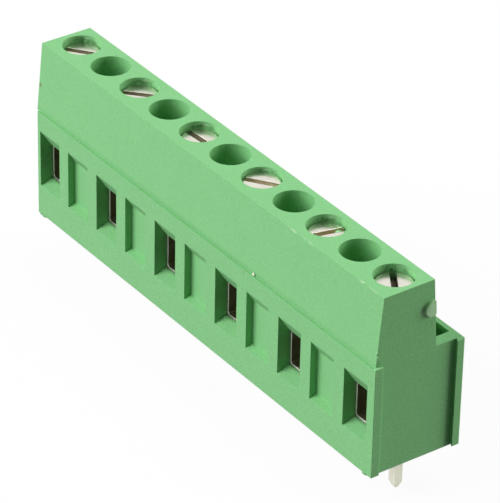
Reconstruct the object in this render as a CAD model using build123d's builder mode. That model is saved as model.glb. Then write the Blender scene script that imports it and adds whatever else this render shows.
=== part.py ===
"""Screw terminal block for a circuit board, with rising wire cages, in millimetres.

X runs along the row of poles, -Y is the side where the wires go in, and +Z is up.
The origin is the middle of the row of solder pins, on the surface of the board.
"""

import os

from build123d import *

# Row of poles: a blind cell of the same pitch lies between each two poles
POLES = 6
CELL_PITCH = 5.08

# Solder contact, bent from one strip
STRIP_THICKNESS = 0.8
STRIP_BEND = 0.3
BAR_WIDTH = 2.8
PIN_WIDTH = 1.0
PIN_LENGTH = 4.1
PIN_SETBACK = 1.2
FOOT_LIFT = 0.9
PIN_TIP_LENGTH = 0.6
PIN_TIP_TAPER = 0.25

# Wire cage and the thread in its collar
CAGE_WIDTH = 3.9
CAGE_DEPTH = 4.8
CAGE_WALL = 0.3
CAGE_CORNER = 0.25
CAGE_LIP = 0.15
CAGE_ROOF = 0.8
COLLAR_DIAMETER = 3.7
COLLAR_HEIGHT = 1.2
CAGE_TRAVEL = 3.6
CAGE_CLEARANCE = 0.1
CAGE_TO_STRIP = 0.2
BAR_SETBACK = 0.2
WIRE_GRIP_DEPTH = 0.1
WIRE_GRIP_WIDTH = 0.35
WIRE_GRIP_PITCH = 1.1

# Slotted clamp screw
SCREW_DIAMETER = 3.0
THREAD_CLEARANCE = 0.05
HEAD_DIAMETER = 3.8
HEAD_HEIGHT = 1.6
HEAD_EDGE = 0.15
HEAD_CLEARANCE = 0.08
HEAD_RECESS = 0.75
SLOT_WIDTH = 0.64
SLOT_DEPTH = 0.9
SCREW_TIP_CHAMFER = 0.4
SEAT_CLEARANCE = 0.05
SHANK_CLEARANCE = 0.15
SLOT_ANGLES = [37, 42, 4, 35, 77, -33]
HEAD_LIFTS = [0, 0, 0, 0.25, 0, 0]

# Wire entries in the front face
ENTRY_WIDTH = 3.5
ENTRY_HEIGHT = 6.3
SILL_HEIGHT = 3.3
SILL_RISE = 0.5
CEILING_DROP = 1.8
ENTRY_LAND = 0.25
BLIND_ENTRY_DEPTH = 0.75
BAR_COVER = 0.1

# Moulded housing
STANDOFF_HEIGHT = 0.4
STANDOFF_DIAMETER = 1.0
STANDOFF_EDGE = 0.15
STANDOFF_INSET = 0.05
END_WALL = 0.49
UPPER_FRONT_WALL = 1.2
UPPER_BACK_WALL = 0.65
FRONT_SLANT = 0.65
BACK_SLANT = 0.55
FRONT_LEDGE = 0.2
LINTEL_HEIGHT = 2.1
CAGE_HEADROOM = 0.75
HEAD_SEAT = 1.45
BLIND_HOLE_DEPTH = 6.0
CHAMBER_BACK_WALL = 0.65
POCKET_GAP = 1.55
POCKET_DEPTH = 5.0
POCKET_RIB = 1.0
POCKET_END_WALL = 1.25
REAR_WALL = 0.55

# Joining features on the two ends, where blocks stand side by side
RIB_PROUD = 0.27
RIB_WIDTH = 0.95
RIB_EDGE = 0.1
HOOK_PROUD = 0.48
HOOK_WIDTH = 0.91
HOOK_UNDERCUT = 0.23
HOOK_CORNER = 0.2
JOINING_CLEARANCE = 0.05
KNOB_RADIUS = 0.82
KNOB_PROUD = 0.32
KNOB_HEEL = 0.16
KNOB_EDGE = 0.12
KNOB_BELOW_TOP = 2.95
KNOB_INSET = 0.45

# Places along X
cells = 2 * POLES - 1
blind_cells = POLES - 1
pole_pitch = 2 * CELL_PITCH
pole_x = [pole_pitch * (index - (POLES - 1) / 2) for index in range(POLES)]
chamber_half = CAGE_WIDTH / 2 + CAGE_CLEARANCE
half_length = pole_x[-1] + chamber_half + END_WALL

# Places along Y, from the screws outwards
screw_y = -PIN_SETBACK
chamber_front_y = screw_y - CAGE_DEPTH / 2 - CAGE_CLEARANCE
chamber_back_y = screw_y + CAGE_DEPTH / 2 + CAGE_CLEARANCE
leg_front_y = screw_y + CAGE_DEPTH / 2 + CAGE_TO_STRIP
leg_back_y = leg_front_y + STRIP_THICKNESS
slant_foot_y = chamber_front_y - UPPER_FRONT_WALL
front_y = slant_foot_y - FRONT_LEDGE
top_front_y = slant_foot_y + FRONT_SLANT
back_foot_y = chamber_back_y + UPPER_BACK_WALL
top_back_y = back_foot_y - BACK_SLANT
pocket_front_y = leg_back_y + CHAMBER_BACK_WALL
pocket_back_y = pocket_front_y + POCKET_GAP
rear_y = pocket_back_y + REAR_WALL

# Places along Z, from the board upwards
underside_z = STANDOFF_HEIGHT
sill_z = underside_z + SILL_HEIGHT
lintel_z = sill_z + ENTRY_HEIGHT
ledge_z = lintel_z + LINTEL_HEIGHT
entry_floor_z = sill_z + SILL_RISE
entry_ceiling_z = lintel_z - CEILING_DROP
bar_bottom_z = entry_ceiling_z + BAR_COVER
bar_top_z = bar_bottom_z + STRIP_THICKNESS
strip_foot_z = underside_z + FOOT_LIFT
cage_bottom_z = entry_floor_z + CAGE_LIP - CAGE_WALL
cage_roof_z = bar_top_z + CAGE_CLEARANCE
collar_base_z = cage_roof_z + CAGE_ROOF
collar_top_z = collar_base_z + COLLAR_HEIGHT
chamber_top_z = collar_top_z + CAGE_TRAVEL + CAGE_HEADROOM
head_seat_z = chamber_top_z + HEAD_SEAT
head_top_z = head_seat_z + SEAT_CLEARANCE + HEAD_HEIGHT
top_z = head_top_z + HEAD_RECESS

# Sizes shared by the screws and the holes above them
access_radius = HEAD_DIAMETER / 2 + HEAD_CLEARANCE
neck_radius = SCREW_DIAMETER / 2 + SHANK_CLEARANCE

# Plan of the undercut hook at the rear corner of each end
hook_front_y = rear_y - HOOK_WIDTH
hook_root_y = hook_front_y + HOOK_UNDERCUT

os.makedirs("parts", exist_ok=True)


def save(part, name):
    """Label one finished piece and write it to its own file."""
    part.label = name
    export_step(part, f"parts/{name}.step")


# Lower body in plan: the near end has the rib and the hook, the far end takes them
near_end = [
    (half_length + RIB_PROUD, front_y),
    (half_length + RIB_PROUD, front_y + RIB_WIDTH),
    (half_length, front_y + RIB_WIDTH),
    (half_length, hook_root_y),
    (half_length + HOOK_PROUD, hook_front_y),
    (half_length + HOOK_PROUD, rear_y),
]
far_end = [
    (-half_length + HOOK_PROUD + JOINING_CLEARANCE, rear_y),
    (-half_length + HOOK_PROUD + JOINING_CLEARANCE, hook_front_y - JOINING_CLEARANCE),
    (-half_length, hook_root_y - JOINING_CLEARANCE),
    (-half_length, front_y + RIB_WIDTH + JOINING_CLEARANCE),
    (-half_length + RIB_PROUD + JOINING_CLEARANCE, front_y + RIB_WIDTH + JOINING_CLEARANCE),
    (-half_length + RIB_PROUD + JOINING_CLEARANCE, front_y),
]

# Upper body in section, with its slanted front and back walls
upper_section = [
    (slant_foot_y, ledge_z),
    (top_front_y, top_z),
    (top_back_y, top_z),
    (back_foot_y, ledge_z),
]

# Chamber of one pole in section: cage, screw and strip go in from below
chamber_section = [
    (chamber_front_y, underside_z),
    (chamber_front_y, chamber_top_z),
    (chamber_back_y, chamber_top_z),
    (chamber_back_y, bar_top_z),
    (leg_back_y, bar_top_z),
    (leg_back_y, underside_z),
]

# Funnel of one wire entry in section: steep ceiling, gently rising sill, short land
funnel_back_y = chamber_front_y - ENTRY_LAND
funnel_section = [
    (front_y, sill_z),
    (front_y, lintel_z),
    (funnel_back_y, entry_ceiling_z),
    (chamber_front_y, entry_ceiling_z),
    (chamber_front_y, entry_floor_z),
    (funnel_back_y, entry_floor_z),
]

# A blind entry is the same funnel, closed off part of the way in
blind_share = BLIND_ENTRY_DEPTH / (funnel_back_y - front_y)
blind_section = [
    (front_y, sill_z),
    (front_y, lintel_z),
    (front_y + BLIND_ENTRY_DEPTH, lintel_z - CEILING_DROP * blind_share),
    (front_y + BLIND_ENTRY_DEPTH, sill_z + SILL_RISE * blind_share),
]

# The knob on the near end stands at the back wall and slopes down towards it
knob_z = top_z - KNOB_BELOW_TOP
wall_share = KNOB_BELOW_TOP / (top_z - ledge_z)
knob_wall_y = top_back_y + BACK_SLANT * wall_share
knob_y = knob_wall_y - KNOB_INSET
knob_slope = [
    (half_length + KNOB_PROUD, knob_y - KNOB_RADIUS / 2),
    (half_length + KNOB_PROUD, back_foot_y),
    (half_length + KNOB_HEEL, back_foot_y),
    (half_length + KNOB_HEEL, knob_wall_y),
]

# Standoffs under the four corners, clear of the recess for the hook at the rear
standoff_x = half_length - STANDOFF_DIAMETER
rear_standoff_x = standoff_x - HOOK_PROUD
front_standoff_y = front_y + STANDOFF_DIAMETER / 2 + STANDOFF_INSET
rear_standoff_y = rear_y - STANDOFF_DIAMETER / 2 - STANDOFF_INSET
standoff_places = [
    (-standoff_x, front_standoff_y, 0),
    (standoff_x, front_standoff_y, 0),
    (-rear_standoff_x, rear_standoff_y, 0),
    (rear_standoff_x, rear_standoff_y, 0),
]

with BuildPart() as housing:
    # Lower and upper body
    with BuildSketch(Plane.XY.offset(underside_z)):
        with BuildLine():
            Polyline(*near_end, *far_end, close=True)
        make_face()
    extrude(amount=ledge_z - underside_z)
    upright_edges = housing.edges().filter_by(Axis.Z)
    hook_corner = upright_edges.sort_by_distance((half_length + HOOK_PROUD, rear_y, underside_z))[0]
    fillet(hook_corner, HOOK_CORNER)
    upright_edges = housing.edges().filter_by(Axis.Z)
    rib_edge = upright_edges.sort_by_distance((half_length + RIB_PROUD, front_y + RIB_WIDTH, underside_z))[0]
    fillet(rib_edge, RIB_EDGE)
    with BuildSketch(Plane.YZ.offset(-half_length)):
        with BuildLine():
            Polyline(*upper_section, close=True)
        make_face()
    extrude(amount=2 * half_length)

    # Open-topped pockets in the rear ledge, one to a cell
    with BuildSketch(Plane.XY.offset(ledge_z)):
        with Locations((0, (pocket_front_y + pocket_back_y) / 2)):
            Rectangle(2 * (half_length - POCKET_END_WALL), POCKET_GAP)
            with GridLocations(CELL_PITCH, 0, cells - 1, 1):
                Rectangle(POCKET_RIB, POCKET_GAP, mode=Mode.SUBTRACT)
    extrude(amount=-POCKET_DEPTH, mode=Mode.SUBTRACT)

    # Chambers and wire entries of the poles
    for x in pole_x:
        with BuildSketch(Plane.YZ.offset(x)):
            with BuildLine():
                Polyline(*chamber_section, close=True)
            make_face()
        extrude(amount=chamber_half, both=True, mode=Mode.SUBTRACT)
        with BuildSketch(Plane.YZ.offset(x)):
            with BuildLine():
                Polyline(*funnel_section, close=True)
            make_face()
        extrude(amount=ENTRY_WIDTH / 2, both=True, mode=Mode.SUBTRACT)

    # Blind entries of the cells between the poles
    for x in pole_x[:-1]:
        with BuildSketch(Plane.YZ.offset(x + CELL_PITCH)):
            with BuildLine():
                Polyline(*blind_section, close=True)
            make_face()
        extrude(amount=ENTRY_WIDTH / 2, both=True, mode=Mode.SUBTRACT)

    # Round holes in the top: down to the screw's seat, or blind
    with Locations((0, screw_y, top_z)):
        with GridLocations(pole_pitch, 0, POLES, 1):
            CounterBoreHole(neck_radius, access_radius, top_z - head_seat_z, top_z - chamber_top_z)
        with GridLocations(pole_pitch, 0, blind_cells, 1):
            Hole(access_radius, BLIND_HOLE_DEPTH)

    # Knob on the near end, cut level with the back wall, and its socket in the far end
    with BuildSketch(Plane.YZ.offset(half_length)):
        with Locations((knob_y, knob_z)):
            Circle(KNOB_RADIUS)
        with BuildLine():
            Polyline(*upper_section, close=True)
        make_face(mode=Mode.INTERSECT)
    extrude(amount=KNOB_PROUD)
    knob_rim = housing.edges().filter_by(GeomType.CIRCLE).sort_by(Axis.X)[-1]
    chamfer(knob_rim, KNOB_EDGE)
    with BuildSketch(Plane.XY.offset(knob_z)):
        with BuildLine():
            Polyline(*knob_slope, close=True)
        make_face()
    extrude(amount=KNOB_RADIUS, both=True, mode=Mode.SUBTRACT)
    with BuildSketch(Plane.YZ.offset(-half_length)):
        with Locations((knob_y, knob_z)):
            Circle(KNOB_RADIUS + JOINING_CLEARANCE)
    extrude(amount=KNOB_PROUD + JOINING_CLEARANCE, mode=Mode.SUBTRACT)

    # Round standoffs that keep the underside off the board
    with Locations(*standoff_places):
        Cylinder(
            STANDOFF_DIAMETER / 2,
            STANDOFF_HEIGHT,
            align=(Align.CENTER, Align.CENTER, Align.MIN),
        )
    standoff_faces = housing.faces().group_by(Axis.Z)[0]
    chamfer(standoff_faces.edges(), STANDOFF_EDGE)

save(housing.part, "housing")


# Contact strip in section: bar through the cage, leg behind it, foot, solder pin
half_strip = STRIP_THICKNESS / 2
bar_front_y = screw_y - CAGE_DEPTH / 2 + BAR_SETBACK
leg_middle_y = leg_front_y + half_strip
bar_middle_z = bar_bottom_z + half_strip
foot_middle_z = strip_foot_z + half_strip
strip_path = [
    (bar_front_y, bar_middle_z),
    (leg_middle_y, bar_middle_z),
    (leg_middle_y, foot_middle_z),
    (0, foot_middle_z),
    (0, -PIN_LENGTH),
]
trim_width = chamber_half - BAR_WIDTH / 2
pin_trim_width = chamber_half - PIN_WIDTH / 2

for number, x in enumerate(pole_x, start=1):
    with BuildPart() as contact_pin:
        with BuildSketch(Plane.YZ.offset(x)):
            with BuildLine():
                FilletPolyline(*strip_path, radius=STRIP_BEND + half_strip)
            trace(line_width=STRIP_THICKNESS)
        extrude(amount=chamber_half, both=True)

        # The bar is narrowed to pass through the cage, the pin to fit its hole
        for side in (-1, 1):
            trim_x = x + side * (BAR_WIDTH + trim_width) / 2
            with Locations((trim_x, leg_front_y, bar_bottom_z)):
                Box(
                    trim_width,
                    leg_front_y - bar_front_y,
                    STRIP_THICKNESS,
                    align=(Align.CENTER, Align.MAX, Align.MIN),
                    mode=Mode.SUBTRACT,
                )
            pin_trim_x = x + side * (PIN_WIDTH + pin_trim_width) / 2
            with Locations((pin_trim_x, 0, strip_foot_z)):
                Box(
                    pin_trim_width,
                    STRIP_THICKNESS,
                    strip_foot_z + PIN_LENGTH,
                    align=(Align.CENTER, Align.CENTER, Align.MAX),
                    mode=Mode.SUBTRACT,
                )

        # Coined tip
        tip_face = contact_pin.faces().sort_by(Axis.Z)[0]
        chamfer(tip_face.edges(), PIN_TIP_TAPER, PIN_TIP_LENGTH, reference=tip_face)

    save(contact_pin.part, f"contact_pin_{number}")


# Wire cage in the lowered place, where the wire entry is open
cage_middle_z = (cage_bottom_z + collar_base_z) / 2
cage_height = collar_base_z - cage_bottom_z
mouth_bottom_z = cage_bottom_z + CAGE_WALL
mouth_height = cage_roof_z - mouth_bottom_z
mouth_width = CAGE_WIDTH - 2 * CAGE_WALL
thread_radius = SCREW_DIAMETER / 2 + THREAD_CLEARANCE

for number, x in enumerate(pole_x, start=1):
    with BuildPart() as clamp_cage:
        with BuildSketch(Plane.XZ.offset(-screw_y)):
            with Locations((x, cage_middle_z)):
                RectangleRounded(CAGE_WIDTH, cage_height, CAGE_CORNER + CAGE_WALL)
            with Locations((x, mouth_bottom_z + mouth_height / 2)):
                RectangleRounded(mouth_width, mouth_height, CAGE_CORNER, mode=Mode.SUBTRACT)
        extrude(amount=CAGE_DEPTH / 2, both=True)

        # Collar drawn up from the roof, and the threaded hole through both
        with BuildSketch(Plane.XY.offset(collar_base_z)):
            with Locations((x, screw_y)):
                Circle(COLLAR_DIAMETER / 2)
        extrude(amount=COLLAR_HEIGHT)
        with Locations((x, screw_y, collar_top_z)):
            Hole(thread_radius, COLLAR_HEIGHT + CAGE_ROOF + CAGE_CORNER)

        # Grooves across the cage's floor, which grip the wire
        with Locations((x, screw_y, mouth_bottom_z)):
            with GridLocations(0, WIRE_GRIP_PITCH, 1, 3):
                Box(
                    mouth_width - 2 * CAGE_CORNER,
                    WIRE_GRIP_WIDTH,
                    WIRE_GRIP_DEPTH,
                    align=(Align.CENTER, Align.CENTER, Align.MAX),
                    mode=Mode.SUBTRACT,
                )

    save(clamp_cage.part, f"clamp_cage_{number}")


# Clamp screw: its head turns on the seat, its tip bears on the contact bar; one was left raised
head_bottom_z = head_seat_z + SEAT_CLEARANCE
tip_z = bar_top_z + SEAT_CLEARANCE
shank_radius = SCREW_DIAMETER / 2
head_radius = HEAD_DIAMETER / 2
screw_section = [
    (0, tip_z),
    (shank_radius - SCREW_TIP_CHAMFER, tip_z),
    (shank_radius, tip_z + SCREW_TIP_CHAMFER),
    (shank_radius, head_bottom_z),
    (head_radius, head_bottom_z),
    (head_radius, head_top_z),
    (0, head_top_z),
]

for number, x in enumerate(pole_x, start=1):
    lift = HEAD_LIFTS[number - 1]
    with BuildPart() as clamp_screw:
        with BuildSketch(Plane((x, screw_y, lift), x_dir=(1, 0, 0), z_dir=(0, -1, 0))):
            with BuildLine():
                Polyline(*screw_section, close=True)
            make_face()
        revolve(axis=Axis((x, screw_y, 0), (0, 0, 1)))
        head_rim = clamp_screw.edges().filter_by(GeomType.CIRCLE).sort_by(Axis.Z)[-1]
        chamfer(head_rim, HEAD_EDGE)
        with Locations(Location((x, screw_y, head_top_z + lift), (0, 0, SLOT_ANGLES[number - 1]))):
            Box(
                HEAD_DIAMETER,
                SLOT_WIDTH,
                SLOT_DEPTH,
                align=(Align.CENTER, Align.CENTER, Align.MAX),
                mode=Mode.SUBTRACT,
            )

    save(clamp_screw.part, f"clamp_screw_{number}")
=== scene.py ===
"""Looks of a green screw terminal block for a circuit board, in metres."""

from math import cos, pi, radians, sin

import bpy
from mathutils import Matrix, Vector


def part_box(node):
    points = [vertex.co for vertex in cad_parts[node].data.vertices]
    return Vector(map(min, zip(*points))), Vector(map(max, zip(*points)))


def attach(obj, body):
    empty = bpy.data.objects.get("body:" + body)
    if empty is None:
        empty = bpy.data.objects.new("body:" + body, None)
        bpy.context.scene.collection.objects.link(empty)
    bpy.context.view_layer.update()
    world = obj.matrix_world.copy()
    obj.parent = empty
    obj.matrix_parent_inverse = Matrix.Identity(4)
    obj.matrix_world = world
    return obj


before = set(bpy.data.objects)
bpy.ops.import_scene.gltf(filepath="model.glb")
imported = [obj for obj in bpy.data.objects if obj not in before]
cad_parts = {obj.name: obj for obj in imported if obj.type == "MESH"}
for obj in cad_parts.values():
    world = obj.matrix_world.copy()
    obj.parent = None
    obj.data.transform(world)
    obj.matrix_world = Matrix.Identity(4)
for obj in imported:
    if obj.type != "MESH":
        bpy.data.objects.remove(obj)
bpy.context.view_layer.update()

MM = 0.001

# Camera, as fitted to the outlines of the holes and wire entries in the photograph
PHOTO_LONG_SIDE = 503
FOCAL_PIXELS = 3711.058
SENSOR_WIDTH = 36.0
CAMERA_AZIMUTH = radians(53.9501)
CAMERA_ELEVATION = radians(32.0481)
CAMERA_ROLL = radians(1.2647)
CAMERA_PLACE = Vector((243.5893, -175.9985, 196.4024)) * MM

# Places on the block
BLOCK_MIDDLE = Vector((0, 0, 9)) * MM
poles = sum(1 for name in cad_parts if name.startswith("clamp_screw_"))
pin_tip_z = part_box("contact_pin_1")[0][2]
cage_front_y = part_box("clamp_cage_1")[0][1]

# Colours of each finish, at the dark and the light end of its shade
PLASTIC_MOTTLE = ((0.212, 0.545, 0.219), (0.23, 0.583, 0.238))
PLASTIC_SPECK = ((0.17, 0.485, 0.18), (0.272, 0.645, 0.278))
SCREW_PLATING = ((0.74, 0.71, 0.62), (0.82, 0.79, 0.7))
SLOT_BROWN = ((0.34, 0.28, 0.17), (0.48, 0.41, 0.28))
# Cage steel: its own colour at the cut edges, and painted shade in brown inside
CAGE_EDGE = ((0.84, 0.82, 0.75), (0.92, 0.9, 0.84))
CAGE_PAINTED_SHADE = ((0.21, 0.195, 0.12), (0.29, 0.265, 0.175))
TIN = ((0.85, 0.84, 0.69), (0.93, 0.92, 0.77))
PALE_SCRAP = ((0.9, 0.88, 0.72), (0.97, 0.95, 0.84))
GREEN_SCRAP = ((0.3, 0.66, 0.3), (0.38, 0.74, 0.38))

# Where the noise reaches the two ends of a shade
SHADE_LOW = 0.3
SHADE_HIGH = 0.7

# Noise scales of the plastic, in waves to the metre
MOTTLE_SCALE = 260.0
PATCH_SCALE = 420.0
FLECK_SCALE = 2300.0
GRAIN_SCALE = 5200.0
SPECK_SCALE = 8500.0
SPECK_SHARE = 0.6

# Depth of the relief in every finish, and rounding of the edges
RELIEF_DEPTH = 0.01 * MM
PLASTIC_EDGE = 0.06 * MM
SCREW_EDGE = 0.08 * MM
SHEET_EDGE = 0.1 * MM
EDGE_SAMPLES = 6

# Brown in the screw slots: depths below the head where it starts and is full, brightness for each screw
SLOT_BROWN_START = 0.08 * MM
SLOT_BROWN_FULL = 0.28 * MM
SLOT_TONES = (1.15, 1.1, 0.95, 1.7, 1.8, 0.4)

# Cages: depths behind the front edge where the bright cut ends and the painted shade inside begins
CUT_END = 0.02 * MM
PAINTED_SHADE_START = 0.08 * MM

# Marks in the plastic, real ones and painted light and shade: centre and radii in mm, turn about Y,
# colour, strength, core, broken up or whole
STRAIN_AND_PAINTED_LIGHT = (0.46, 0.7, 0.42)
PAINTED_HIGHLIGHT = (0.75, 0.9, 0.72)
SHADED = (0.09, 0.33, 0.1)
LEDGE_PAINTED_LIGHT = (0.26, 0.75, 0.27)
DIRT = (0.16, 0.17, 0.08)
PAINTED_DEEP_SHADE = (0.035, 0.15, 0.035)
MARKS_AND_PAINTED_LIGHT = [
    # Knob: painted light on its face, painted light on the wall beside it over the knob's shadow, and a
    # painted highlight on its near rim
    ((28.1, 1.17, 16.45), (0.5, 0.98, 0.98), 0, STRAIN_AND_PAINTED_LIGHT, 0.68, 0.75, False),
    ((27.95, 0.35, 16.35), (0.15, 0.6, 0.8), 0, STRAIN_AND_PAINTED_LIGHT, 0.6, 0.3, False),
    ((28.24, 0.5, 16.25), (0.3, 0.35, 0.6), 0, PAINTED_HIGHLIGHT, 0.35, 0.2, False),
    # Painted shade in the crease at the foot of the slanted front, and painted light on the ledge below it
    ((0, -4.88, 12.24), (60.0, 0.3, 0.46), 0, SHADED, 0.34, 0.1, False),
    ((0, -5.03, 12.1), (60.0, 0.14, 0.1), 0, LEDGE_PAINTED_LIGHT, 0.2, 0.5, False),
    # Weld lines on the slanted front
    ((-12.44, -4.55, 16.0), (0.09, 0.6, 2.3), 7.7, SHADED, 0.16, 0.3, False),
    ((18.05, -4.55, 16.4), (0.09, 0.6, 1.8), 9.6, SHADED, 0.16, 0.3, False),
    # Painted highlights along the front edge of the top, broken up into flecks
    ((14.5, -4.28, 19.38), (1.4, 0.16, 0.16), 0, PAINTED_HIGHLIGHT, 0.5, 0.3, True),
    ((16.6, -4.25, 19.38), (1.6, 0.1, 0.1), 0, PAINTED_HIGHLIGHT, 0.35, 0.3, True),
    ((24.9, -4.25, 19.38), (0.9, 0.17, 0.17), 0, PAINTED_HIGHLIGHT, 0.6, 0.3, True),
    ((26.5, -4.25, 19.38), (1.4, 0.1, 0.1), 0, PAINTED_HIGHLIGHT, 0.4, 0.3, True),
    # Parting line on the near end
    ((27.94, -1.1, 12.14), (0.08, 3.4, 0.08), 0, STRAIN_AND_PAINTED_LIGHT, 0.8, 0.3, True),
    # Dirt on the far edge and above a blind entry
    ((-27.72, -4.62, 14.9), (0.36, 0.4, 0.34), 0, DIRT, 0.8, 0.25, False),
    ((-27.6, -5.1, 1.6), (0.25, 0.2, 0.5), 0, DIRT, 0.35, 0.2, True),
    ((7.76, -5.1, 11.8), (0.45, 0.2, 0.3), 0, DIRT, 0.22, 0.2, False),
    # Near edge above the ledge: painted shade, and a spot of dirt
    ((27.96, -4.66, 12.55), (0.12, 0.3, 0.4), 0, SHADED, 0.6, 0.4, False),
    ((27.96, -4.6, 13.5), (0.12, 0.2, 0.4), 0, DIRT, 0.3, 0.4, True),
    # Lower edge of the near end: pale flash, lightened further by a painted highlight
    ((28.0, -3.5, 0.42), (0.35, 9.0, 0.1), 0, STRAIN_AND_PAINTED_LIGHT, 0.5, 0.4, False),
]

# Painted shade and a painted reflection of the screw head on the wall of each screw's hole, in the same
# form, with X and Y counted from the screw's axis
HOLE_PAINTED_SHADE_AND_REFLECTION = [
    ((-1.6, 1.17, 18.88), (1.15, 1.15, 0.5), 0, PAINTED_DEEP_SHADE, 0.8, 0.35, True),
    ((-0.64, 1.87, 18.86), (0.5, 0.5, 0.42), 0, PAINTED_DEEP_SHADE, 0.6, 0.3, True),
    ((-1.3, 1.48, 19.1), (0.38, 0.38, 0.2), 0, PAINTED_HIGHLIGHT, 0.25, 0.3, False),
]

# Noise levels at which a broken-up mark is bare and whole
BARE_AT = 0.42
WHOLE_AT = 0.6

# Painted shade in the rear pockets, in mm: heights where it starts and is full, planes where it ends and
# is whole
POCKET_SHADE_START_Z = 12.08
POCKET_SHADE_FULL_Z = 11.4
POCKET_SHADE_STRENGTH = 0.6
POCKET_SHADE_LIMITS = [
    ("X", -27.4, -27.0),
    ("X", 27.4, 27.0),
    ("Y", 2.8, 2.85),
    ("Y", 4.45, 4.4),
    ("Z", 6.9, 7.0),
]

# Curled slivers of flash: centre, radius of the curl and of its section in mm, sweep in degrees, scrap
FLASH_CURLS = [
    ((28.06, -4.78, 13.6), 0.22, 0.08, 200, "green"),
    ((28.25, -4.96, 11.62), 0.14, 0.07, 170, "pale"),
    ((28.22, -5.0, 4.5), 0.15, 0.08, 180, "green"),
    ((28.22, -5.02, 6.3), 0.1, 0.06, 150, "green"),
]
CURL_SIDES = 8
CURL_STEPS = 9

# Ends of a sliver: reach in section radii, and how far the points within it are drawn in
CURL_REACH = 1.3
CURL_FAR_END = 0.35
CURL_NEAR_END = 0.45

# Loose grains: centre and radii in mm, seed, body, scrap
GRAINS = [
    ((9.27, -4.96, 12.3), (0.19, 0.12, 0.18), 5, "block", "pale"),
    ((-21.6, -4.98, 12.12), (0.09, 0.06, 0.05), 7, "block", "green"),
    ((-20.2, -4.99, 12.12), (0.07, 0.06, 0.05), 11, "block", "pale"),
    ((-18.9, -4.98, 12.12), (0.1, 0.06, 0.05), 13, "block", "green"),
    ((2.8, -5.06, 4.99), (0.06, 0.035, 0.06), 17, "block", "pale"),
    ((6.01, -0.98, 18.8), (0.13, 0.34, 0.12), 19, "screw_4", "green"),
    ((15.58, -0.14, 18.52), (0.26, 0.34, 0.17), 23, "screw_5", "green"),
]
GRAIN_UNEVENNESS = 0.22 * MM
GRAIN_SMOOTHING = 0.4

# Lip of flash on the rib: place and size in mm, reach and scale of its thinned rear end
TONGUE_PLACE = (28.07, -4.62, 12.13)
TONGUE_SIZE = (0.28, 0.9, 0.16)
TONGUE_REAR_REACH = 0.4
TONGUE_REAR = (0.7, 1.0, 0.6)

# Lump left by the mould at the far lower corner
LUMP_PLACE = (-27.28, -4.84, 0.26)
LUMP_RADII = (0.4, 0.26, 0.26)
LUMP_SEED = 3

# Small pieces: distance at which points merge, and angle above which an edge stays sharp
MERGE_DISTANCE = 0.002 * MM
SMOOTH_ANGLE = radians(60)

# Surroundings: colours of the light, strength of the world to the eye and to the block, floor
WHITE = (1.0, 1.0, 1.0)
PALE_GREEN = (0.97, 1.0, 0.9)
WORLD_TO_THE_EYE = 1.0
WORLD_TO_THE_BLOCK = 0.01
FLOOR_SIZE = 4.0
FLOOR_GLOW_SHARE = 0.94
FLOOR_TO_THE_EYE = (0.95, 0.95, 0.95)
FLOOR_TO_THE_BLOCK = (0.15, 0.15, 0.15)


# Nodes of the materials
def new_material(name):
    """Start a node material and return its tree, its shader and a coordinate node."""
    material = bpy.data.materials.new(name)
    material.use_nodes = True
    tree = material.node_tree
    shader = tree.nodes["Principled BSDF"]
    place = tree.nodes.new("ShaderNodeTexCoord")
    return material, tree, shader, place


def feed(tree, socket, value):
    """Give a socket its number, its colour or its link."""
    if isinstance(value, float):
        socket.default_value = value
    elif isinstance(value, tuple):
        socket.default_value = (*value, 1.0)
    else:
        tree.links.new(value, socket)


def noise(tree, place, scale, detail=4.0, stretch=(1, 1, 1)):
    """Noise on the piece's own coordinates, stretched by a mapping."""
    mapping = tree.nodes.new("ShaderNodeMapping")
    mapping.inputs["Scale"].default_value = stretch
    tree.links.new(place.outputs["Object"], mapping.inputs["Vector"])
    texture = tree.nodes.new("ShaderNodeTexNoise")
    texture.inputs["Scale"].default_value = scale
    texture.inputs["Detail"].default_value = detail
    texture.inputs["Roughness"].default_value = 0.55
    tree.links.new(mapping.outputs["Vector"], texture.inputs["Vector"])
    return texture.outputs["Fac"]


def ramp(tree, factor, dark, light, dark_at=SHADE_LOW, light_at=SHADE_HIGH):
    """Colour that runs from dark to light as the factor rises."""
    node = tree.nodes.new("ShaderNodeValToRGB")
    first, last = node.color_ramp.elements
    first.position = dark_at
    first.color = (*dark, 1.0)
    last.position = light_at
    last.color = (*light, 1.0)
    tree.links.new(factor, node.inputs["Fac"])
    return node.outputs["Color"]


def grey_ramp(tree, factor, low, high, low_at=0.0, high_at=1.0):
    """Ramp between two grey levels."""
    return ramp(tree, factor, (low,) * 3, (high,) * 3, low_at, high_at)


def relief(tree, shader, height, strength, edge=None):
    """Fine relief, over edges rounded a little as moulding and stamping leave them."""
    bump = tree.nodes.new("ShaderNodeBump")
    bump.inputs["Strength"].default_value = strength
    bump.inputs["Distance"].default_value = RELIEF_DEPTH
    tree.links.new(height, bump.inputs["Height"])
    if edge is not None:
        rounded = tree.nodes.new("ShaderNodeBevel")
        rounded.samples = EDGE_SAMPLES
        rounded.inputs["Radius"].default_value = edge
        tree.links.new(rounded.outputs["Normal"], bump.inputs["Normal"])
    tree.links.new(bump.outputs["Normal"], shader.inputs["Normal"])


def mixed(tree, factor, first, second):
    """Colour that goes from the first to the second as the factor rises."""
    mix = tree.nodes.new("ShaderNodeMix")
    mix.data_type = "RGBA"
    for name, value in (("Factor", factor), ("A", first), ("B", second)):
        feed(tree, mix.inputs[name], value)
    return mix.outputs["Result"]


def combined(tree, operation, first, second):
    """Result of one Math operation on two values, each a socket or a number."""
    node = tree.nodes.new("ShaderNodeMath")
    node.operation = operation
    feed(tree, node.inputs[0], first)
    feed(tree, node.inputs[1], second)
    return node.outputs["Value"]


def times(tree, first, second):
    """Product of two masks, or of a mask and a number."""
    return combined(tree, "MULTIPLY", first, second)


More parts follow.
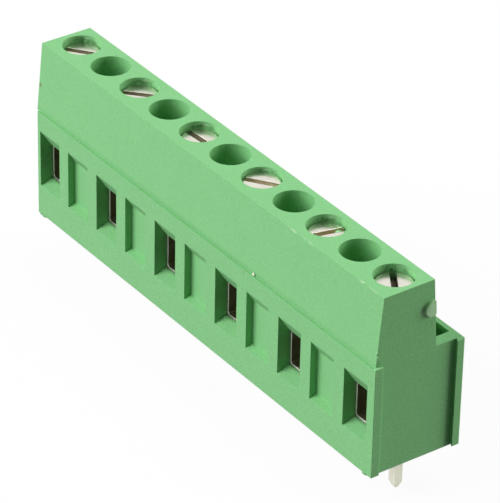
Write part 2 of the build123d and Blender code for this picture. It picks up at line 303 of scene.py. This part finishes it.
def along(tree, place, axis, start, end):
    """Share of the way from start to end along one axis of the piece, kept between 0 and 1."""
    split = tree.nodes.new("ShaderNodeSeparateXYZ")
    tree.links.new(place.outputs["Object"], split.inputs["Vector"])
    share = tree.nodes.new("ShaderNodeMapRange")
    share.inputs["From Min"].default_value = start
    share.inputs["From Max"].default_value = end
    tree.links.new(split.outputs[axis], share.inputs["Value"])
    return share.outputs["Result"]


def spot(tree, place, centre_mm, radii_mm, core, turn_degrees):
    """Mask of an ellipsoid turned about Y: 1 in its core, fading to 0 at its surface."""
    local = tree.nodes.new("ShaderNodeMapping")
    local.vector_type = "TEXTURE"
    local.inputs["Location"].default_value = Vector(centre_mm) * MM
    local.inputs["Rotation"].default_value = (0, radians(turn_degrees), 0)
    local.inputs["Scale"].default_value = Vector(radii_mm) * MM
    tree.links.new(place.outputs["Object"], local.inputs["Vector"])
    reach = tree.nodes.new("ShaderNodeVectorMath")
    reach.operation = "LENGTH"
    tree.links.new(local.outputs["Vector"], reach.inputs[0])
    fade = tree.nodes.new("ShaderNodeMapRange")
    fade.inputs["From Min"].default_value = 1.0
    fade.inputs["From Max"].default_value = core
    tree.links.new(reach.outputs["Value"], fade.inputs["Value"])
    return fade.outputs["Result"]


def seen_by(tree, path, *rays):
    """Mask that is 1 for the named kinds of ray."""
    first, *others = (path.outputs[f"Is {ray} Ray"] for ray in rays)
    for other in others:
        first = combined(tree, "MAXIMUM", first, other)
    return first


# Finishes
def hole_painted_shade_and_reflection():
    """Painted shade, and a painted reflection of the head, on the far wall above each screw."""
    marks = []
    for number in range(1, poles + 1):
        low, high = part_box(f"clamp_screw_{number}")
        axis_x, axis_y = ((low[axis] + high[axis]) / 2 / MM for axis in (0, 1))
        for (x, y, z), *rest in HOLE_PAINTED_SHADE_AND_REFLECTION:
            marks.append(((axis_x + x, axis_y + y, z), *rest))
    return marks


def pocket_painted_shade(tree, place):
    """Mask of the painted shade on the walls deep in the rear pockets."""
    mask = along(tree, place, "Z", POCKET_SHADE_START_Z * MM, POCKET_SHADE_FULL_Z * MM)
    for axis, outside, inside in POCKET_SHADE_LIMITS:
        mask = times(tree, mask, along(tree, place, axis, outside * MM, inside * MM))
    return times(tree, mask, POCKET_SHADE_STRENGTH)


def green_plastic():
    """Moulded green plastic: satin, finely speckled, with weld lines, dirt and a parting line, and with
    painted light, highlights, reflections and shade in its colour.
    """
    material, tree, shader, place = new_material("green_plastic")
    mottle = noise(tree, place, MOTTLE_SCALE, detail=3.0)
    speck = noise(tree, place, SPECK_SCALE, detail=1.0)
    broad = ramp(tree, mottle, *PLASTIC_MOTTLE)
    fine = ramp(tree, speck, *PLASTIC_SPECK)
    colour = mixed(tree, SPECK_SHARE, broad, fine)
    fleck = noise(tree, place, FLECK_SCALE, detail=2.0)
    patchy = grey_ramp(tree, fleck, 0.0, 1.0, BARE_AT, WHOLE_AT)
    # Marks over the colour, many of them painted light, highlights, reflections and shade
    for centre, radii, turn, paint, strength, core, broken in MARKS_AND_PAINTED_LIGHT + hole_painted_shade_and_reflection():
        mask = times(tree, spot(tree, place, centre, radii, core, turn), strength)
        if broken:
            mask = times(tree, mask, patchy)
        colour = mixed(tree, mask, colour, paint)
    # Painted shade deep in the rear pockets
    colour = mixed(tree, pocket_painted_shade(tree, place), colour, PAINTED_DEEP_SHADE)
    tree.links.new(colour, shader.inputs["Base Color"])
    patches = noise(tree, place, PATCH_SCALE, detail=2.0)
    roughness = grey_ramp(tree, patches, 0.42, 0.5, SHADE_LOW, SHADE_HIGH)
    tree.links.new(roughness, shader.inputs["Roughness"])
    grain = noise(tree, place, GRAIN_SCALE, detail=2.0)
    relief(tree, shader, grain, 0.12, PLASTIC_EDGE)
    shader.inputs["Specular IOR Level"].default_value = 0.35
    return material


def screw_steel(number):
    """Polished nickel plating of one screw, brown in the slot."""
    material, tree, shader, place = new_material(f"screw_steel_{number}")
    shade = noise(tree, place, 900.0)
    bright = ramp(tree, shade, *SCREW_PLATING)
    tone = SLOT_TONES[number - 1]
    dark, light = (tuple(level * tone for level in colour) for colour in SLOT_BROWN)
    brown = ramp(tree, shade, dark, light)
    head_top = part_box(f"clamp_screw_{number}")[1][2]
    in_slot = along(tree, place, "Z", head_top - SLOT_BROWN_START, head_top - SLOT_BROWN_FULL)
    tree.links.new(mixed(tree, in_slot, bright, brown), shader.inputs["Base Color"])
    tree.links.new(grey_ramp(tree, in_slot, 1.0, 0.3), shader.inputs["Metallic"])
    tree.links.new(grey_ramp(tree, in_slot, 0.22, 0.5), shader.inputs["Roughness"])
    relief(tree, shader, shade, 0.05, SCREW_EDGE)
    return material


def cage_steel():
    """Sheet steel of the wire cages: bright on the cut front edges, with painted shade in brown inside."""
    material, tree, shader, place = new_material("cage_steel")
    shade = noise(tree, place, 1200.0)
    bright = ramp(tree, shade, *CAGE_EDGE)
    # Painted shade inside the cages
    shaded_steel = ramp(tree, shade, *CAGE_PAINTED_SHADE)
    inside = along(tree, place, "Y", cage_front_y + CUT_END, cage_front_y + PAINTED_SHADE_START)
    tree.links.new(mixed(tree, inside, bright, shaded_steel), shader.inputs["Base Color"])
    shader.inputs["Metallic"].default_value = 0.85
    roughness = grey_ramp(tree, shade, 0.34, 0.48, SHADE_LOW, SHADE_HIGH)
    tree.links.new(roughness, shader.inputs["Roughness"])
    relief(tree, shader, shade, 0.1, SHEET_EDGE)
    return material


def tinned_brass():
    """Dull tin plating on the contact strips and their pins."""
    material, tree, shader, place = new_material("tinned_brass")
    shade = noise(tree, place, 700.0, stretch=(3, 3, 0.4))
    tree.links.new(ramp(tree, shade, *TIN), shader.inputs["Base Color"])
    shader.inputs["Metallic"].default_value = 0.5
    roughness = grey_ramp(tree, shade, 0.36, 0.5, SHADE_LOW, SHADE_HIGH)
    tree.links.new(roughness, shader.inputs["Roughness"])
    relief(tree, shader, shade, 0.12, SHEET_EDGE)
    return material


def scrap_plastic(name, shades):
    """Loose scrap of plastic or dust, uneven in shade."""
    material, tree, shader, place = new_material(name)
    shade = noise(tree, place, 6000.0)
    tree.links.new(ramp(tree, shade, *shades), shader.inputs["Base Color"])
    tree.links.new(grey_ramp(tree, shade, 0.4, 0.6), shader.inputs["Roughness"])
    relief(tree, shader, shade, 0.2)
    shader.inputs["Specular IOR Level"].default_value = 0.35
    return material


def dress(node_name, material):
    """Give one CAD piece its finish."""
    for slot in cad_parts[node_name].material_slots:
        slot.material = material


# Small pieces of flash and grit
def deselect_all():
    """Leave nothing selected, so that an operator acts on new work alone."""
    if bpy.context.object and bpy.context.object.mode != "OBJECT":
        bpy.ops.object.mode_set(mode="OBJECT")
    bpy.ops.object.select_all(action="DESELECT")


def start_shaping(name):
    """Name the new primitive, put its place in its mesh and open it with all of it selected."""
    piece = bpy.context.object
    piece.name = name
    bpy.ops.object.transform_apply(location=True, rotation=True, scale=True)
    bpy.ops.object.mode_set(mode="EDIT")
    bpy.ops.mesh.select_all(action="SELECT")
    return piece


def select_near(piece, point, reach):
    """Select only the vertices within reach of a point, from edit mode."""
    bpy.ops.mesh.select_all(action="DESELECT")
    bpy.ops.object.mode_set(mode="OBJECT")
    for vertex in piece.data.vertices:
        vertex.select = (piece.matrix_world @ vertex.co - point).length < reach
    bpy.ops.object.mode_set(mode="EDIT")


def finish_piece(piece, material, body):
    """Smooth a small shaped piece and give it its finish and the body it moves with."""
    bpy.ops.mesh.select_all(action="SELECT")
    bpy.ops.mesh.remove_doubles(threshold=MERGE_DISTANCE)
    bpy.ops.mesh.normals_make_consistent(inside=False)
    bpy.ops.object.mode_set(mode="OBJECT")
    smooth = piece.modifiers.new("smooth", "SUBSURF")
    smooth.levels = 1
    smooth.render_levels = 1
    bpy.ops.object.modifier_apply(modifier=smooth.name)
    bpy.ops.object.shade_smooth_by_angle(angle=SMOOTH_ANGLE)
    bpy.ops.object.transform_apply(location=True, rotation=True, scale=True)
    piece.data.materials.clear()
    piece.data.materials.append(material)
    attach(piece, body)


def flash_curl(name, centre_mm, curl_mm, section_mm, sweep_degrees, material):
    """Curled sliver of flash: a round section spun about Y and thinned at both ends."""
    deselect_all()
    centre = Vector(centre_mm) * MM
    start = centre + Vector((0, 0, curl_mm)) * MM
    sweep = radians(sweep_degrees)
    bpy.ops.mesh.primitive_circle_add(
        vertices=CURL_SIDES, radius=section_mm * MM, location=start, rotation=(0, pi / 2, 0))
    piece = start_shaping(name)
    bpy.ops.mesh.spin(steps=CURL_STEPS, angle=sweep, center=centre, axis=(0, 1, 0))
    bpy.ops.mesh.select_all(action="SELECT")
    bpy.ops.mesh.fill_holes(sides=0)

    # The far end is thinned on whichever side of the centre the spin has left it
    reach = section_mm * CURL_REACH * MM
    for side in (-1, 1):
        end = centre + Vector((side * sin(sweep) * curl_mm, 0, cos(sweep) * curl_mm)) * MM
        select_near(piece, end, reach)
        bpy.ops.transform.resize(value=(CURL_FAR_END,) * 3, center_override=end)
    select_near(piece, start, reach)
    bpy.ops.transform.resize(value=(CURL_NEAR_END,) * 3, center_override=start)
    finish_piece(piece, material, "block")


def flash_tongue(name, place_mm, size_mm, material):
    """Thin lip of flash along the top of the rib, thinned towards its rear end."""
    deselect_all()
    place = Vector(place_mm) * MM
    bpy.ops.mesh.primitive_cube_add(size=1.0, location=place, scale=Vector(size_mm) * MM)
    piece = start_shaping(name)
    bpy.ops.mesh.subdivide(number_cuts=3)
    rear = place + Vector((0, size_mm[1] / 2, 0)) * MM
    select_near(piece, rear, TONGUE_REAR_REACH * MM)
    bpy.ops.transform.resize(value=TONGUE_REAR, center_override=rear)
    finish_piece(piece, material, "block")


def grit_grain(name, place_mm, radii_mm, seed, body, material):
    """Lumpy grain of plastic or dust, rounded off and resting on the block."""
    deselect_all()
    place = Vector(place_mm) * MM
    bpy.ops.mesh.primitive_ico_sphere_add(subdivisions=2, radius=1.0 * MM, location=place)
    piece = start_shaping(name)
    bpy.ops.transform.vertex_random(offset=GRAIN_UNEVENNESS, uniform=1.0, seed=seed)
    bpy.ops.mesh.vertices_smooth(factor=GRAIN_SMOOTHING)
    bpy.ops.transform.resize(value=radii_mm, center_override=place)
    finish_piece(piece, material, body)


# Camera
def photo_camera():
    """Camera at the photograph's place, angle and field of view."""
    back = Vector((
        sin(CAMERA_AZIMUTH) * cos(CAMERA_ELEVATION),
        -cos(CAMERA_AZIMUTH) * cos(CAMERA_ELEVATION),
        sin(CAMERA_ELEVATION),
    ))
    level = Vector((cos(CAMERA_AZIMUTH), sin(CAMERA_AZIMUTH), 0.0))
    upright = back.cross(level)
    right = level * cos(CAMERA_ROLL) + upright * sin(CAMERA_ROLL)
    up = upright * cos(CAMERA_ROLL) - level * sin(CAMERA_ROLL)
    data = bpy.data.cameras.new("camera")
    data.sensor_width = SENSOR_WIDTH
    data.lens = FOCAL_PIXELS * SENSOR_WIDTH / PHOTO_LONG_SIDE
    data.clip_start = 0.01
    data.clip_end = 5.0
    camera = bpy.data.objects.new("camera", data)
    turn = Matrix((right, up, back)).transposed()
    camera.matrix_world = Matrix.Translation(CAMERA_PLACE) @ turn.to_4x4()
    bpy.context.collection.objects.link(camera)
    bpy.context.scene.camera = camera


# Light and surroundings
def soft_panel(name, azimuth, elevation, distance, size, level, colour=WHITE):
    """Square soft box aimed at the block; level 1 lights a facing surface to its own colour."""
    turn = radians(azimuth)
    tilt = radians(elevation)
    toward = Vector((sin(turn) * cos(tilt), -cos(turn) * cos(tilt), sin(tilt)))
    data = bpy.data.lights.new(name, "AREA")
    data.shape = "SQUARE"
    data.size = size
    data.energy = level * (pi * distance) ** 2
    data.color = colour
    lamp = bpy.data.objects.new(name, data)
    lamp.location = toward * distance + BLOCK_MIDDLE
    lamp.rotation_euler = toward.to_track_quat("Z", "Y").to_euler()
    bpy.context.collection.objects.link(lamp)


def white_world():
    """Surroundings that look white straight on, in gloss and through glass, and light the block little."""
    world = bpy.data.worlds.new("surroundings")
    world.use_nodes = True
    tree = world.node_tree
    background = tree.nodes["Background"]
    background.inputs["Color"].default_value = (*WHITE, 1.0)
    path = tree.nodes.new("ShaderNodeLightPath")
    seen = seen_by(tree, path, "Camera", "Glossy", "Transmission")
    not_bounced = combined(tree, "LESS_THAN", path.outputs["Diffuse Depth"], 0.5)
    level = tree.nodes.new("ShaderNodeMapRange")
    level.inputs["To Min"].default_value = WORLD_TO_THE_BLOCK
    level.inputs["To Max"].default_value = WORLD_TO_THE_EYE
    tree.links.new(times(tree, seen, not_bounced), level.inputs["Value"])
    tree.links.new(level.outputs["Result"], background.inputs["Strength"])
    bpy.context.scene.world = world


def pale_floor():
    """Wide floor under the pins: white with soft shadows to the eye, dark grey to the block."""
    deselect_all()
    bpy.ops.mesh.primitive_plane_add(size=FLOOR_SIZE, location=(0, 0, pin_tip_z))
    floor = bpy.context.object
    floor.name = "floor"
    bpy.ops.object.transform_apply(location=True, rotation=True, scale=True)
    material, tree, shader, _ = new_material("floor_white")
    shader.inputs["Roughness"].default_value = 0.9
    shader.inputs["Specular IOR Level"].default_value = 0.0
    glow = tree.nodes.new("ShaderNodeEmission")
    glow.inputs["Strength"].default_value = 1.0
    path = tree.nodes.new("ShaderNodeLightPath")
    seen = seen_by(tree, path, "Camera", "Glossy")
    paint = mixed(tree, seen, FLOOR_TO_THE_BLOCK, FLOOR_TO_THE_EYE)
    tree.links.new(paint, shader.inputs["Base Color"])
    mix = tree.nodes.new("ShaderNodeMixShader")
    tree.links.new(times(tree, seen, FLOOR_GLOW_SHARE), mix.inputs["Fac"])
    tree.links.new(shader.outputs["BSDF"], mix.inputs[1])
    tree.links.new(glow.outputs["Emission"], mix.inputs[2])
    output = tree.nodes["Material Output"]
    tree.links.new(mix.outputs["Shader"], output.inputs["Surface"])
    floor.data.materials.append(material)


# The CAD pieces in their finishes
plastic = green_plastic()
cage_finish = cage_steel()
pin_finish = tinned_brass()
dress("housing", plastic)
for number in range(1, poles + 1):
    dress(f"clamp_screw_{number}", screw_steel(number))
    dress(f"clamp_cage_{number}", cage_finish)
    dress(f"contact_pin_{number}", pin_finish)

# Flash and grit on the block
scraps = {
    "pale": scrap_plastic("pale_grit", PALE_SCRAP),
    "green": scrap_plastic("green_grit", GREEN_SCRAP),
}
for number, (centre, curl, section, sweep, scrap) in enumerate(FLASH_CURLS, start=1):
    flash_curl(f"flash_curl_{number}", centre, curl, section, sweep, scraps[scrap])
flash_tongue("flash_tongue", TONGUE_PLACE, TONGUE_SIZE, scraps["green"])
grit_grain("flash_lump", LUMP_PLACE, LUMP_RADII, LUMP_SEED, "block", plastic)
for number, (centre, radii, seed, body, scrap) in enumerate(GRAINS, start=1):
    grit_grain(f"grain_{number}", centre, radii, seed, body, scraps[scrap])

# The view and its light
photo_camera()
white_world()
pale_floor()
soft_panel("left_light", azimuth=-25, elevation=31, distance=1.0, size=0.8, level=1.29)
soft_panel("top_light", azimuth=182, elevation=72, distance=1.0, size=0.6, level=0.42)
soft_panel("right_light", azimuth=150, elevation=7, distance=1.0, size=0.8, level=1.06, colour=PALE_GREEN)
bpy.context.scene.view_settings.view_transform = "Standard"
